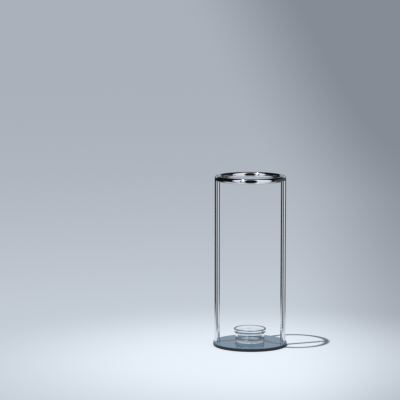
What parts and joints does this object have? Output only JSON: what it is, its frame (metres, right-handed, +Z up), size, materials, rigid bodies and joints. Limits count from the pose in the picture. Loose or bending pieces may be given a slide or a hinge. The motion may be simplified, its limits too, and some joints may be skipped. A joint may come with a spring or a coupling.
{
  "type": "umbrella stand",
  "caption": "Free-standing umbrella stand: a chromed tube ring on two uprights above a round lacquered steel base, with a loose clear glass bowl that catches the drips.",
  "frame": {"origin": "on the floor at the centre of the round base", "axes": "+Z up; the two uprights stand on the X axis; +Y is away from the viewer of the front"},
  "size_m": [0.23, 0.23, 0.532],
  "materials": {
    "lacquered_steel": "blue-grey satin lacquer with a clear gloss coat",
    "rubber_pad": "black, finely grained",
    "chromed_tube": "polished bright chrome",
    "turned_steel": "turned, unplated",
    "clear_washer": "milky, translucent",
    "screw_steel": "zinc plated",
    "pressed_glass": "clear, thick, fire polished"
  },
  "bodies": {
    "root": {"base_plate": "lacquered_steel", "floor_pad": "rubber_pad", "left_upright": "chromed_tube", "right_upright": "chromed_tube", "top_ring": "chromed_tube", "ring_sleeve": "turned_steel", "left_foot_plug": "turned_steel", "right_foot_plug": "turned_steel", "left_foot_washer": "clear_washer", "right_foot_washer": "clear_washer", "left_foot_screw": "screw_steel", "right_foot_screw": "screw_steel"},
    "bowl": {"glass_bowl": "pressed_glass"}
  },
  "joints": [
    {"name": "bowl_lift", "type": "slide", "parent": "root", "child": "bowl", "axis": [0, 0, 1], "range_m": [0, 0.54]}
  ]
}
